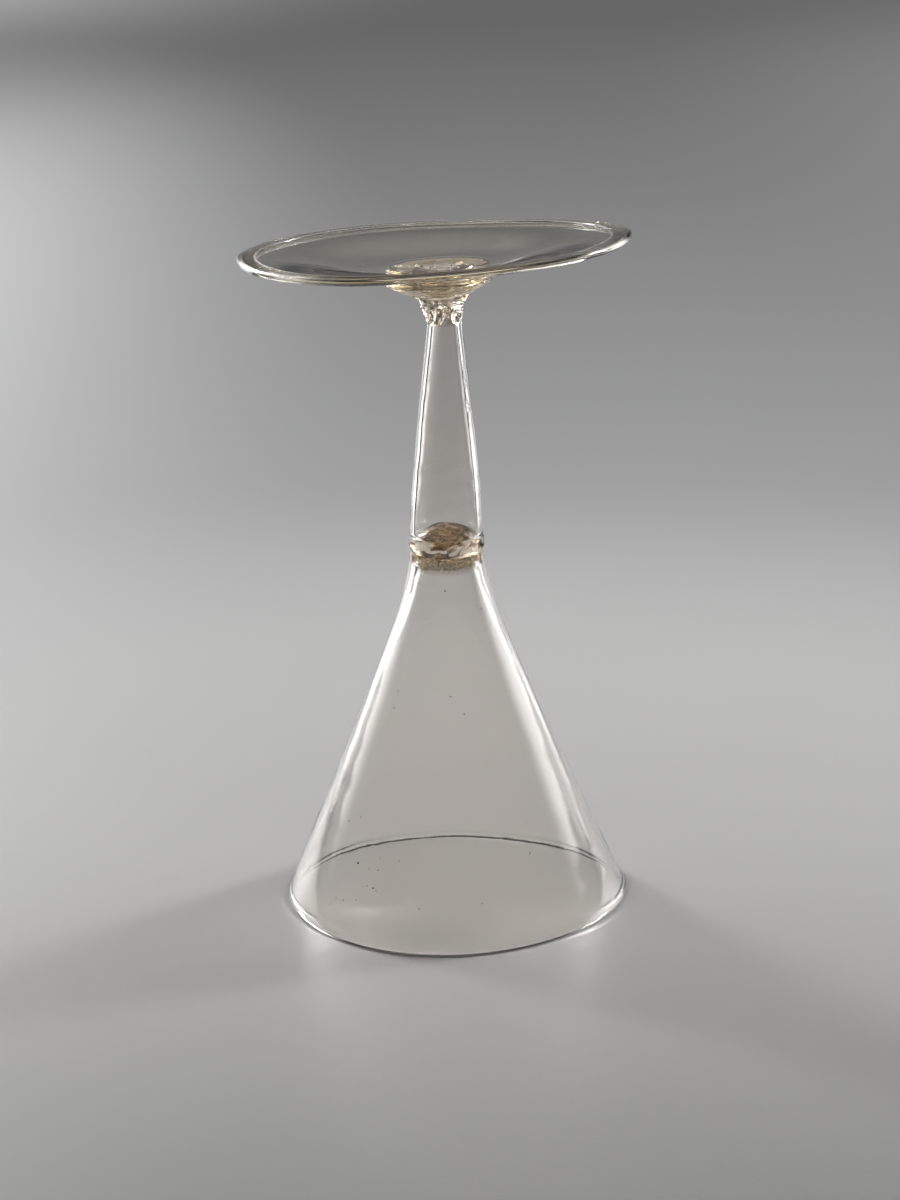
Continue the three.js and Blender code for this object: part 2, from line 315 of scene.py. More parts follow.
def lean(co):
    """Points of the straight glass, moved to their place on the real one."""
    x, y, z = co.T
    angle = np.arctan2(y, x)
    lobe = np.cos(3 * (angle - RIM_LOBE_TURN)) * np.exp(-z / RIM_LOBE_DEPTH)
    swell = 1 + RIM_LOBE * lobe / RIM_RADIUS
    slope = math.tan(FOOT_TILT_SIDE) * x + math.tan(FOOT_TILT_BACK) * y
    sloping = smooth(z, NECK_Z, NECK_Z + NECK_HEIGHT)
    return np.stack([x * swell + axis_x(z) - FOOT_X, y * swell, z + sloping * slope], 1)


def leaned(part):
    """A straight (points, faces, slots), moved to its place on the real glass."""
    co, faces, slots = part
    return lean(co), faces, slots


def foot_wave(co):
    """The wavy edge of the foot, about its own axis."""
    x, y, z = co.T
    angle, radius = np.arctan2(y, x), np.hypot(x, y)
    outward = share(radius, FLANGE_RADIUS, FOOT_RADIUS - FLANGE_RADIUS) ** 2
    for count, height, turn in FOOT_WAVES:
        z = z + height * outward * np.cos(count * (angle - turn))
    return np.stack([x, y, z], 1)


def ripple(co, size, long, seed):
    """Smooth irregular values about 0 at the points, with waves about that long."""
    draw = np.random.default_rng(seed)
    total = np.zeros(len(co))
    for _ in range(RIPPLE_WAVES):
        way = draw.normal(size=3)
        wave = way / np.linalg.norm(way) * 2 * np.pi / (long * draw.uniform(0.6, 1.8))
        total += np.sin(co @ wave + draw.uniform(0, 2 * np.pi))
    return size * total / math.sqrt(RIPPLE_WAVES / 2)


def swollen(co, amount):
    """Points moved outwards from the axis by an amount each."""
    radius = np.maximum(np.hypot(co[:, 0], co[:, 1]), 1e-6)
    out = co.copy()
    out[:, :2] *= (1 + amount / radius)[:, None]
    return out


# Small things in and on the glass


def ball(centre, sizes, turn, hollow=True, rings=5, sides=8):
    """A small rounded body. A hollow one is a bubble, whose faces look into its air."""
    co = [(0, 0, -1)]
    for k in range(1, rings):
        polar = np.pi * k / rings
        r, z = math.sin(polar), -math.cos(polar)
        for j in range(sides):
            angle = 2 * np.pi * j / sides
            co.append((r * math.cos(angle), r * math.sin(angle), z))
    co.append((0, 0, 1))
    last = len(co) - 1
    faces = []
    for j in range(sides):
        n = (j + 1) % sides
        faces.append((0, 1 + n, 1 + j))
        for k in range(rings - 2):
            a, b = 1 + k * sides, 1 + (k + 1) * sides
            faces.append((a + j, a + n, b + n, b + j))
        a = 1 + (rings - 2) * sides
        faces.append((a + j, a + n, last))
    if hollow:
        faces = [f[::-1] for f in faces]
    co = np.array(co) * sizes
    c, s = math.cos(turn), math.sin(turn)
    co = co @ np.array([[c, s, 0], [-s, c, 0], [0, 0, 1]])
    return co + centre, faces


def combined(parts):
    """Several (points, faces, slots) as one."""
    co, faces, slots = [], [], []
    count = 0
    for part_co, part_faces, part_slots in parts:
        co.append(part_co)
        faces.extend(tuple(i + count for i in f) for f in part_faces)
        slots.extend(part_slots)
        count += len(part_co)
    return np.concatenate(co), faces, slots


def bubbles(count, place, sizes, stretch=1.0):
    """Bubbles in a wall. place draws (radius, height), sizes are the smallest and largest radius,
    and stretch draws them out around the axis."""
    parts = []
    for _ in range(count):
        r, z = place()
        size = sizes[0] + (sizes[1] - sizes[0]) * rng.random() ** 3
        angle = rng.uniform(0, 2 * np.pi)
        long = size * rng.uniform(1, stretch)
        centre = np.array([r * math.cos(angle), r * math.sin(angle), z])
        co, faces = ball(centre, np.array([size, long, size]), angle)
        parts.append((co, faces, [GLASS] * len(faces)))
    return parts


def make_object(name, part, materials, node=None):
    """A piece of the object from points in millimetres, riding on the one body."""
    co, faces, slots = part
    mesh = bpy.data.meshes.new(name)
    mesh.from_pydata(co * MM, [], faces)
    for material in materials:
        mesh.materials.append(material)
    mesh.polygons.foreach_set("material_index", np.array(slots, np.int32))
    mesh.polygons.foreach_set("use_smooth", np.ones(len(faces), bool))
    mesh.update()
    mesh.set_sharp_from_angle(angle=SHARP_ANGLE)
    piece = bpy.data.objects.new(name, mesh)
    bpy.context.scene.collection.objects.link(piece)
    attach(piece, "root")
    if node:
        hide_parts(node)
    return piece


# Materials


class Nodes:
    """Short names for making the nodes of a material."""

    def __init__(self, material):
        self.tree = material.node_tree
        self.tree.nodes.clear()

    def add(self, kind, **values):
        """A node. A value whose key starts with in_ goes to that input, the others are settings."""
        node = self.tree.nodes.new("ShaderNode" + kind)
        for key, value in values.items():
            if key.startswith("in_"):
                socket = node.inputs[key[3:].replace("_", " ")]
                if isinstance(value, bpy.types.NodeSocket):
                    self.tree.links.new(value, socket)
                else:
                    socket.default_value = value
            else:
                setattr(node, key, value)
        return node

    def axes(self, vector=None):
        """X, Y and Z of a vector, or else of the place on the object."""
        vector = vector or self.add("TexCoord").outputs["Object"]
        return self.add("SeparateXYZ", in_Vector=vector).outputs

    def radius(self, x, y):
        """How far a place is from the axis."""
        squares = self.math("ADD", self.math("POWER", x, 2.0), self.math("POWER", y, 2.0))
        return self.math("SQRT", squares)

    def math(self, operation, a, b=0.0):
        """The result of a sum on two sockets or numbers."""
        node = self.add("Math", operation=operation)
        for socket, value in zip(node.inputs, (a, b)):
            if isinstance(value, bpy.types.NodeSocket):
                self.tree.links.new(value, socket)
            else:
                socket.default_value = value
        return node.outputs[0]

    def blend(self, factor, first, second):
        """A colour between two, by a factor from 0 to 1."""
        node = self.add("Mix", data_type="RGBA", in_Factor=factor)
        for key, value in (("A", first), ("B", second)):
            socket = next(s for s in node.inputs if s.name == key and s.type == "RGBA")
            socket.default_value = (*value, 1)
        return next(s for s in node.outputs if s.type == "RGBA")

    def noise(self, scale, detail=2.0, stretch=(1, 1, 1), distortion=0.0):
        """Noise from 0 to 1 over the place on the object."""
        place = self.add("TexCoord").outputs["Object"]
        mapping = self.add("Mapping", in_Vector=place, in_Scale=stretch)
        node = self.add(
            "TexNoise", in_Vector=mapping.outputs[0], in_Scale=scale, in_Detail=detail,
            in_Distortion=distortion,
        )
        return node.outputs["Fac"]

    def ramp(self, value, low, high, to_low=0.0, to_high=1.0):
        """A value eased from one pair of limits to another."""
        node = self.add("MapRange", interpolation_type="SMOOTHSTEP")
        for key, number in (("From Min", low), ("From Max", high), ("To Min", to_low), ("To Max", to_high)):
            node.inputs[key].default_value = number
        self.tree.links.new(value, node.inputs["Value"])
        return node.outputs[0]


def new_material(name):
    """An empty material and its nodes."""
    material = bpy.data.materials.new(name)
    material.use_nodes = True
    return material, Nodes(material)


def glass(name, tint, waves, pits=0.0, rough=0.0, haze=0.02, fold=None):
    """Blown glass. waves is the height of its streaks and pits of its pitting, both in metres.
    Where it is smeared, its roughness rises from rough to haze. Outside the radius of a fold it is
    combed by the tool at both sides of the glass, and brown in the middle of the near side."""
    material, n = new_material(name)
    streaks = n.noise(260, detail=3, stretch=(0.25, 0.25, 1.6), distortion=0.4)
    slow = n.noise(70, detail=1)
    height = n.math("ADD", streaks, n.math("MULTIPLY", slow, 1.5))
    if pits:
        fine = n.noise(2600, detail=2)
        height = n.math("ADD", height, n.math("MULTIPLY", n.ramp(fine, 0.62, 0.75), pits / waves))
    smears = n.ramp(n.noise(45, detail=4, stretch=(1, 1, 0.5)), 0.55, 0.8, rough, haze)
    colour = (*tint, 1)
    if fold:
        axes = n.axes()
        radius = n.radius(axes["X"], axes["Y"])
        aside = n.math("ABSOLUTE", axes["X"])
        beside = n.ramp(aside, 0.35 * fold, 0.6 * fold)
        combed = n.math("MULTIPLY", n.ramp(radius, fold, fold + MM), beside)
        comb = n.noise(1100, detail=2, stretch=(0.35, 1, 1))
        height = n.math("ADD", height, n.math("MULTIPLY", combed, n.math("MULTIPLY", comb, 4.0)))
        smears = n.math("ADD", smears, n.math("MULTIPLY", combed, n.ramp(comb, 0.35, 0.6, 0.0, 0.12)))
        near_side = n.ramp(axes["Y"], -20 * MM, -10 * MM, 1.0, 0.0)
        front = n.math("MULTIPLY", near_side, n.ramp(radius, fold - MM, fold))
        middle = n.ramp(aside, 0.3 * fold, 0.85 * fold, 1.0, 0.0)
        colour = n.blend(n.math("MULTIPLY", front, middle), tint, BROWN_FOLD)
    bump = n.add("Bump", in_Strength=1.0, in_Distance=waves, in_Height=height)
    shader = n.add(
        "BsdfPrincipled", in_Base_Color=colour, in_Transmission_Weight=1.0, in_IOR=GLASS_IOR,
        in_Roughness=smears, in_Normal=bump.outputs[0],
    )
    n.add("OutputMaterial", in_Surface=shader.outputs[0])
    return material


def fused_joint():
    """The face inside a fused joint, where nothing is to be seen."""
    material, n = new_material("fused_joint")
    n.add("OutputMaterial", in_Surface=n.add("BsdfTransparent").outputs[0])
    return material


def grit(name, dark, light, scale):
    """Dry crust or a mineral speck."""
    material, n = new_material(name)
    blend = n.ramp(n.noise(scale, detail=4), 0.35, 0.65)
    colour = n.blend(blend, dark, light)
    bump = n.add("Bump", in_Strength=0.6, in_Distance=0.0001, in_Height=n.noise(scale * 3, detail=3))
    shader = n.add("BsdfPrincipled", in_Base_Color=colour, in_Roughness=0.8, in_Normal=bump.outputs[0])
    n.add("OutputMaterial", in_Surface=shader.outputs[0])
    return material


def film():
    """A dry tan film, patchy, that fades out down the wall."""
    material, n = new_material("tan_film")
    end = (COLLAR_Z - BOWL_FLOOR) * MM
    cover = n.ramp(n.axes()["Z"], end - FILM_DEPTH * MM, end - 1.2 * MM, 0.0, 0.7)
    patches = n.ramp(n.noise(2200, detail=4), 0.35, 0.65, 0.4, 1.0)
    shader = n.add(
        "BsdfPrincipled", in_Base_Color=(0.78, 0.68, 0.5, 1), in_Roughness=0.8,
        in_Alpha=n.math("MULTIPLY", cover, patches),
    )
    n.add("OutputMaterial", in_Surface=shader.outputs[0])
    return material


def cloud():
    """A smoky brown cloud in a lump of glass, thickest in the middle."""
    material, n = new_material("brown_cloud")
    axes = n.axes()
    collar_x = float(lean(np.array([[0, 0, COLLAR_Z]]))[0, 0])
    radius = n.radius(n.math("SUBTRACT", axes["X"], collar_x * MM), axes["Y"])
    cover = n.ramp(radius, 0.4 * CLOUD_RADIUS * MM, CLOUD_RADIUS * MM, 0.6, 0.0)
    wisps = n.ramp(n.noise(1500, detail=4, stretch=(0.6, 0.6, 2)), 0.35, 0.65, 0.4, 1.0)
    shader = n.add(
        "BsdfPrincipled", in_Base_Color=(0.5, 0.38, 0.24, 1), in_Roughness=0.8,
        in_Alpha=n.math("MULTIPLY", cover, wisps),
    )
    n.add("OutputMaterial", in_Surface=shader.outputs[0])
    return material


clear = glass("clear_blown_glass", (0.96, 0.935, 0.905), waves=0.00001)
foot_glass = glass("clear_foot_glass", (0.94, 0.9, 0.82), waves=0.000006, fold=FOLD_START * MM)
straw = glass("straw_lump_glass", (0.74, 0.57, 0.34), waves=0.00004, pits=0.00002, rough=0.08, haze=0.2)
pale = glass("pale_neck_glass", (0.88, 0.81, 0.72), waves=0.00004, pits=0.00002)
brown = glass("brown_collar_glass", (0.66, 0.54, 0.4), waves=0.000025, pits=0.000005, rough=0.03, haze=0.1)
joint = fused_joint()
film_matter = film()
cloud_matter = cloud()
crust_matter = grit("dry_brown_crust", (0.2, 0.12, 0.06), (0.8, 0.66, 0.44), 900)
thread_matter = grit("brown_thread", (0.14, 0.08, 0.04), (0.5, 0.36, 0.2), 1500)
speck_matter = grit("dark_mineral_speck", (0.012, 0.008, 0.005), (0.05, 0.03, 0.02), 2500)

# Bowl

BOWL_TURN_Z = COLLAR_Z - BOWL_TURN_DEPTH


def easing(z):
    """Distance below the turn into the neck, which fades out softly above it."""
    return BOWL_SOFTNESS * np.log(1 + np.exp((BOWL_TURN_Z - z) / BOWL_SOFTNESS))


BOWL_TAPER = (RIM_RADIUS - BOWL_NECK_RADIUS) / (easing(0) - easing(COLLAR_Z))


def bowl_outer(z):
    """Outer radius at a height."""
    return BOWL_NECK_RADIUS + BOWL_TAPER * (easing(z) - easing(COLLAR_Z))


def bowl_wall(z):
    """Thickness across the wall at a height."""
    return BOWL_WALL + (BOWL_NECK_WALL - BOWL_WALL) * (z / COLLAR_Z) ** 3


def bowl_inner(z):
    """Inner radius at a height."""
    return bowl_outer(z) - bowl_wall(z) * math.sqrt(1 + BOWL_TAPER**2)


def bowl_section():
    """The wall's inside from the closed end to the rim, its outside back up, and the joint."""
    bead = RIM_BEAD_RADIUS
    centre = (RIM_RADIUS - bead, bead - RIM_WEAR)
    wear = math.degrees(math.acos((bead - RIM_WEAR) / bead))
    ceiling = COLLAR_Z - BOWL_FLOOR
    low = ceiling - BOWL_CORNER
    corner_r = float(bowl_inner(low)) - BOWL_CORNER
    inside = join([
        row((0, ceiling), (corner_r, ceiling)),
        arc((corner_r, low), BOWL_CORNER, 90, 0, 12),
        graph(bowl_inner, low, 2 * bead, 130),
        arc(centre, bead, -200, -90 - wear, 10),
    ])
    seam = COLLAR_Z - 0.5
    outside = join([
        arc(centre, bead, -90 + wear, 10, 10),
        graph(bowl_outer, 2 * bead, seam, 130),
        row((float(bowl_outer(seam)), seam), (BOWL_JOINT_RADIUS, COLLAR_Z), 0.1),
    ])
    return [
        (soften(inside, 0.5, 2), GLASS),
        (row(inside[-1], outside[0], 0.2), GLASS),
        (soften(outside, 0.5, 2), GLASS),
        (row((BOWL_JOINT_RADIUS, COLLAR_Z), (0, COLLAR_Z), 2.0), FUSED),
    ]


def make_bowl():
    """The bowl, with waves in its wall that end at the rim and the joint, and bubbles."""
    co, faces, slots = turned(bowl_section())
    free = smooth(co[:, 2], 2, 12) * smooth(COLLAR_Z - co[:, 2], 0.5, 6)
    co = swollen(co, free * (ripple(co, 0.05, 30, 11) + ripple(co, 0.015, 9, 12)))

    def in_wall():
        z = rng.uniform(3, COLLAR_Z - 6)
        return float(bowl_outer(z) - 0.5 * bowl_wall(z)), z

    part = combined([(co, faces, slots), *bubbles(70, in_wall, (0.05, 0.22), 2.5)])
    return make_object("bowl_glass", leaned(part), [clear, joint], "bowl")


# Collar, stem and neck

BORE_WIDE_RADIUS = STEM_WIDE_RADIUS - STEM_WIDE_WALL
BORE_NARROW_RADIUS = STEM_NARROW_RADIUS - STEM_NARROW_WALL


def make_collar():
    """The collar, with a bulging uneven edge and a dome that stands in the bore."""
    height = STEM_Z - COLLAR_Z
    z = np.linspace(0, 1, 13)
    edge_r = BOWL_JOINT_RADIUS + (STEM_JOINT_RADIUS - BOWL_JOINT_RADIUS) * z
    edge_r = edge_r + (COLLAR_RADIUS - BOWL_JOINT_RADIUS) * np.sin(np.pi * z) ** 0.7
    edge = np.stack([edge_r, COLLAR_Z + height * z], 1)
    sphere = (BORE_WIDE_RADIUS**2 + DOME_HEIGHT**2) / (2 * DOME_HEIGHT)
    r = np.linspace(BORE_WIDE_RADIUS, 0, 30)
    dome = np.stack([r, STEM_Z + DOME_HEIGHT - sphere + np.sqrt(sphere**2 - r**2)], 1)
    dome[0] = (BORE_WIDE_RADIUS, STEM_Z)
    runs = [
        (row((0, COLLAR_Z), (BOWL_JOINT_RADIUS, COLLAR_Z), 2.0), FUSED),
        (edge, GLASS),
        (row((STEM_JOINT_RADIUS, STEM_Z), (BORE_WIDE_RADIUS, STEM_Z), 0.6), FUSED),
        (dome, GLASS),
    ]
    co, faces, slots = turned(runs)
    radius = np.hypot(co[:, 0], co[:, 1])
    on_edge = np.sin(np.pi * share(co[:, 2], COLLAR_Z, height)) * (radius > BOWL_JOINT_RADIUS)
    co = swollen(co, on_edge * (ripple(co, 0.13, 6, 21) + ripple(co, 0.06, 2.4, 22)))
    on_dome = smooth(BORE_WIDE_RADIUS - radius, 0, 2.5) * (co[:, 2] > STEM_Z)
    co[:, 2] += on_dome * (ripple(co, 0.08, 9, 23) + ripple(co, 0.025, 2.5, 24))

    def in_lump():
        return 7.6 * math.sqrt(rng.random()), rng.uniform(COLLAR_Z + 0.4, STEM_Z - 0.4)

    part = combined([(co, faces, slots), *bubbles(36, in_lump, (0.04, 0.2), 2.5)])
    return make_object("collar_glass", leaned(part), [brown, joint], "bowl_collar")


def make_stem():
    """The hollow stem, open at both ends, where the collar and the neck close it."""
    outside = bezier(
        (STEM_WIDE_RADIUS, STEM_Z), (STEM_WIDE_RADIUS, STEM_Z + STEM_SWELL), (STEM_NARROW_RADIUS, NECK_Z), 90
    )
    outside[0] = (STEM_JOINT_RADIUS, STEM_Z)
    bore = bezier(
        (BORE_WIDE_RADIUS, STEM_Z), (BORE_WIDE_RADIUS, STEM_Z + STEM_SWELL), (BORE_NARROW_RADIUS, NECK_Z), 90
    )[::-1]
    runs = [
        (outside, GLASS),
        (row(outside[-1], bore[0], 0.6), FUSED),
        (bore, GLASS),
        (row(bore[-1], outside[0], 0.6), FUSED),
    ]
    co, faces, slots = turned(runs)
    free = smooth(co[:, 2], STEM_Z, STEM_Z + 4) * smooth(-co[:, 2], -NECK_Z, -NECK_Z + 4)
    co = swollen(co, free * (ripple(co, 0.06, 22, 31) + ripple(co, 0.012, 5, 32)))

    def in_wall():
        z = rng.uniform(STEM_Z + 1, NECK_Z - 1)
        return float(np.interp(z, outside[:, 1], outside[:, 0])) - 0.65, z

    part = combined([(co, faces, slots), *bubbles(60, in_wall, (0.05, 0.16), 1.2)])
    return make_object("stem_glass", leaned(part), [clear, joint], "stem")


def make_neck():
    """The neck, with the ragged end of the bore in it and many bubbles."""
    turn_r = STEM_NARROW_RADIUS + NECK_FLARE_WIDTH * (NECK_WIDE_RADIUS - STEM_NARROW_RADIUS)
    turn_z = NECK_Z + NECK_FLARE_HEIGHT * NECK_HEIGHT
    flare = bezier((STEM_NARROW_RADIUS, NECK_Z), (turn_r, turn_z), (NECK_WIDE_RADIUS, FLANGE_Z), 40)
    end_z = NECK_Z + BORE_END_HEIGHT
    end = bezier((0, end_z), (BORE_NARROW_RADIUS, end_z), (BORE_NARROW_RADIUS, NECK_Z), 40)
    runs = [
        (end, GLASS),
        (row(end[-1], flare[0], 0.6), FUSED),
        (flare, GLASS),
        (row(flare[-1], (0, FLANGE_Z), 2.0), FUSED),
    ]
    co, faces, slots = turned(runs, 160)
    radius = np.hypot(co[:, 0], co[:, 1])
    in_bore = radius < BORE_NARROW_RADIUS + 0.01
    rough = in_bore * smooth(co[:, 2], NECK_Z, NECK_Z + 1.5) * (co[:, 2] < FLANGE_Z - 0.1)
    co = swollen(co, rough * (ripple(co, 0.35, 3.6, 41) + ripple(co, 0.12, 1.4, 42)) * share(radius, 0, 1))
    co[:, 2] += rough * (ripple(co, 0.5, 3.0, 43) + ripple(co, 0.14, 1.3, 44))
    free = smooth(co[:, 2], NECK_Z, NECK_Z + 1) * smooth(FLANGE_Z - co[:, 2], 0, 1) * (~in_bore)
    co = swollen(co, free * (ripple(co, 0.06, 4, 45) + 0.03 * np.sin(co[:, 2] * 7.5)))

    def in_lump():
        return 3.2 + 0.6 * rng.random(), rng.uniform(NECK_Z + 0.8, FLANGE_Z - 1)

    def over_bore():
        return 3.5 * math.sqrt(rng.random()), rng.uniform(NECK_Z + 5.3, FLANGE_Z - 0.4)

    round_bore = bubbles(40, in_lump, (0.06, 0.2), 2.0)
    part = combined([(co, faces, slots), *round_bore, *bubbles(40, over_bore, (0.06, 0.24), 3.0)])
    return make_object("neck_glass", leaned(part), [pale, joint], "foot_neck")


# Flange and foot


def off_axis(co, start, end, low, high):
    """Points moved along X by low inside the start radius and by high outside the end radius."""
    radius = np.hypot(co[:, 0], co[:, 1])
    out = co.copy()
    out[:, 0] += low + (high - low) * smooth(radius, start, end)
    return out


def flange_section():
    """The joint with the neck, the skin round the edge, and the joint with the foot."""
    edge = FLANGE_EDGE_RADIUS
    edge_z = FLANGE_Z + FLANGE_EDGE_HEIGHT
    belly, shoulder = FLANGE_BELLY, FLANGE_SHOULDER
    skin = join([
        bezier((NECK_WIDE_RADIUS, FLANGE_Z), (NECK_WIDE_RADIUS + belly[0], FLANGE_Z + belly[1]),
               (FLANGE_RADIUS - 0.5 * edge, edge_z - 0.87 * edge), 40),
        arc((FLANGE_RADIUS - edge, edge_z), edge, -60, 25, 8),
        row((FLANGE_RADIUS - shoulder[0], edge_z + shoulder[1]), (FLANGE_TOP_RADIUS, FOOT_Z), 0.1),
    ])
    skin = soften(skin, 0.12, 6)
    return [
        (row((0, FLANGE_Z), skin[0], 2.0), FUSED),
        (skin, GLASS),
        (row(skin[-1], (0, FOOT_Z), 2.0), FUSED),
    ]


def make_flange():
    """The flange, with the rings of the glass thread that was wound round it."""
    co, faces, slots = turned(flange_section())
    radius = np.hypot(co[:, 0], co[:, 1])
    angle = np.arctan2(co[:, 1], co[:, 0])
    free = smooth(co[:, 2], FLANGE_Z, FLANGE_Z + 0.5) * smooth(FOOT_Z - co[:, 2], 0, 0.5)
    free = free * (radius > NECK_WIDE_RADIUS)
    wound = co[:, 2] + 0.16 * angle + ripple(co, 0.15, 8, 51)
    threads = 0.05 * np.sin(wound * 9.5) + 0.035 * np.sin(wound * 17 + 1) + ripple(co, 0.09, 5, 52)
    co = swollen(co, free * threads)
    co = off_axis(co, NECK_WIDE_RADIUS, NECK_WIDE_RADIUS + 3, 0, FLANGE_OFFSET)
    top = smooth(co[:, 2], FOOT_Z - 0.6, FOOT_Z)
    inside = smooth(FLANGE_TOP_RADIUS - radius, 0, 2)
    co[:, 0] += FLANGE_OFFSET * top * inside * (radius < NECK_WIDE_RADIUS + 3)

    def in_lump():
        return 9.5 * math.sqrt(rng.random()), rng.uniform(FLANGE_Z + 1.9, FOOT_Z - 0.5)

    part = combined([(co, faces, slots), *bubbles(90, in_lump, (0.06, 0.3), 5.0)])
    return make_object("flange_glass", leaned(part), [straw, joint], "foot_flange")


def foot_under(r):
    """Height of the plate's underside over the flange, at a radius."""
    t = share(r, FLANGE_RADIUS, FOLD_START - FLANGE_RADIUS)
    return FOOT_DISH * (t - FOOT_CURL * np.sin(2 * np.pi * t) / (2 * np.pi))


def foot_upper(r):
    """Height of the plate's upper side."""
    plate = FOOT_MIDDLE + (FOOT_PLATE - FOOT_MIDDLE) * smooth(r, FLANGE_RADIUS, FOLD_START)
    return foot_under(r) + plate


SLOT_FLOOR = FOOT_DISH + FOOT_PLATE
SLOT_ROOF = SLOT_FLOOR + FOLD_SLOT


def fold_section():
    """The folded edge, from the plate's underside round the edge and the slot to its upper side."""
    top = SLOT_ROOF + FOLD_LAYER
    half = (top - FOOT_DISH) / 2
    edge = (FOOT_RADIUS - half, FOOT_DISH + half)
    channel = FOLD_CHANNEL / 2
    channel_centre = (edge[0] - channel, edge[1])
    slot_end = channel_centre[0] - 0.3
    lip = FOLD_LAYER / 2
    return [
        row((FOLD_START, FOOT_DISH), (edge[0], FOOT_DISH), 0.3),
        arc(edge, half, -90, 90, 16),
        row((edge[0], top), (FOLD_START + lip, top), 0.3),
        arc((FOLD_START + lip, top - lip), lip, 90, 270, 8),
        row((FOLD_START + lip, SLOT_ROOF), (slot_end, SLOT_ROOF), 0.3),
        arc(channel_centre, channel, 90, -90, 8),
        row((slot_end, SLOT_FLOOR), (FOLD_START, SLOT_FLOOR), 0.3),
    ]


def scar_section():
    """The upper side of the middle, with the ring and pit of the rod's scar, to the axis."""
    foot_of_ring = (PONTIL_RADIUS * PONTIL_SLOPE, FOOT_MIDDLE)
    ring = (PONTIL_RADIUS, FOOT_MIDDLE + PONTIL_HEIGHT)
    pit = (PONTIL_RADIUS * PONTIL_PIT, FOOT_MIDDLE + PONTIL_HEIGHT * PONTIL_PIT_HEIGHT)
    middle = (0, FOOT_MIDDLE + PONTIL_HEIGHT * PONTIL_MIDDLE_HEIGHT)
    return [
        row((FLANGE_TOP_RADIUS, FOOT_MIDDLE), foot_of_ring),
        row(foot_of_ring, ring, 0.15),
        row(ring, pit, 0.15),
        row(pit, middle),
    ]


def foot_section():
    """The joint with the flange, and the skin from there round the fold to the middle."""
    r_out = np.linspace(FLANGE_TOP_RADIUS, FOLD_START, 70)
    r_in = r_out[::-1]
    under = np.stack([r_out, foot_under(r_out)], 1)
    upper = np.stack([r_in, foot_upper(r_in)], 1)
    skin = soften(join([under, *fold_section(), upper, *scar_section()]), 0.3, 1)
    return [(row((0, 0), (FLANGE_TOP_RADIUS, 0), 2.0), FUSED), (skin, GLASS)]


def make_foot():
    """The foot, turned about its own axis, then waved, set off the axis and lifted into place."""
    co, faces, slots = turned(foot_section())
    radius = np.hypot(co[:, 0], co[:, 1])
    scar = smooth(PONTIL_RADIUS * 1.3 - radius, 0, 1) * (co[:, 2] > FOOT_MIDDLE - 0.1)
    co[:, 2] += scar * (ripple(co, 0.12, 2.5, 61) + ripple(co, 0.05, 0.9, 62))
    plate = smooth(radius, FLANGE_RADIUS + 1, FLANGE_RADIUS + 8)
    co[:, 2] += plate * (ripple(co * (1, 1, 0.2), 0.05, 26, 63) + ripple(co * (1, 1, 0.2), 0.004, 9, 64))
    rim = smooth(radius, FOLD_START - 1, FOLD_START + 2)
    co = swollen(co, rim * ripple(co, 0.1, 26, 65))

    def in_plate():
        r = math.sqrt(rng.uniform(FLANGE_RADIUS**2, (FOLD_START - 1) ** 2))
        return r, float(foot_under(r) + foot_upper(r)) / 2

    def in_fold():
        return rng.uniform(FOLD_START + 1, FOOT_RADIUS - 1.2), SLOT_ROOF + FOLD_LAYER / 2

    seeds = [*bubbles(60, in_plate, (0.05, 0.16), 4.0), *bubbles(60, in_fold, (0.05, 0.15), 6.0)]
    co, faces, slots = combined([(co, faces, slots), *seeds])
    co = off_axis(foot_wave(co), FLANGE_TOP_RADIUS, FOOT_OFFSET_END, FLANGE_OFFSET, FOOT_OFFSET)
    co[:, 2] += FOOT_Z
    part = leaned((co, faces, slots))
    return make_object("foot_glass", part, [foot_glass, joint], "foot")


# Crust in the closed end of the bowl, and specks on its wall


def grains(places, sizes):
    """Irregular grains at places, each with its own size in three directions."""
    parts = []
    for place, size in zip(places, sizes):
        co, faces = ball(np.zeros(3), size, rng.uniform(0, np.pi), hollow=False, rings=4, sides=6)
        co = co * rng.uniform(0.75, 1.25, size=(len(co), 1))
        parts.append((co + place, faces, [GLASS] * len(faces)))
    return combined(parts)


def make_crust():
    """Grains all over the closed end, and down the wall, fewer and smaller the lower they are."""
    ceiling = COLLAR_Z - BOWL_FLOOR
    corner_r = float(bowl_inner(ceiling - BOWL_CORNER)) - 0.5 * BOWL_CORNER
    on_end = corner_r * np.sqrt(rng.random(END_GRAINS))
    end_drop = np.full(END_GRAINS, 0.1)
    down = CRUST_DEPTH * rng.random(WALL_GRAINS) ** 1.2
    on_wall = bowl_inner(ceiling - down) - 0.08 - 0.75 * BOWL_CORNER * (1 - share(down, 0, BOWL_CORNER)) ** 2
    radius, drop = np.r_[on_end, on_wall], np.r_[end_drop, down + 0.1]
    angle = rng.uniform(0, 2 * np.pi, len(radius))
    places = np.stack([radius * np.cos(angle), radius * np.sin(angle), ceiling - drop], 1)
    ragged = ripple(places * (1, 1, 0), 0.12, 4, 71)
    keep = drop < CRUST_DEPTH * (0.75 + ragged)
    places, drop = places[keep], drop[keep]
    largest = 0.3 - 0.16 * share(drop, 0.3, CRUST_DEPTH)
    sizes = (0.07 + (largest - 0.07) * rng.random(len(places)))[:, None]
    sizes = sizes * rng.uniform(0.6, 1.3, size=(len(places), 3))
    return make_object("bowl_crust", grains(lean(places), sizes), [crust_matter])


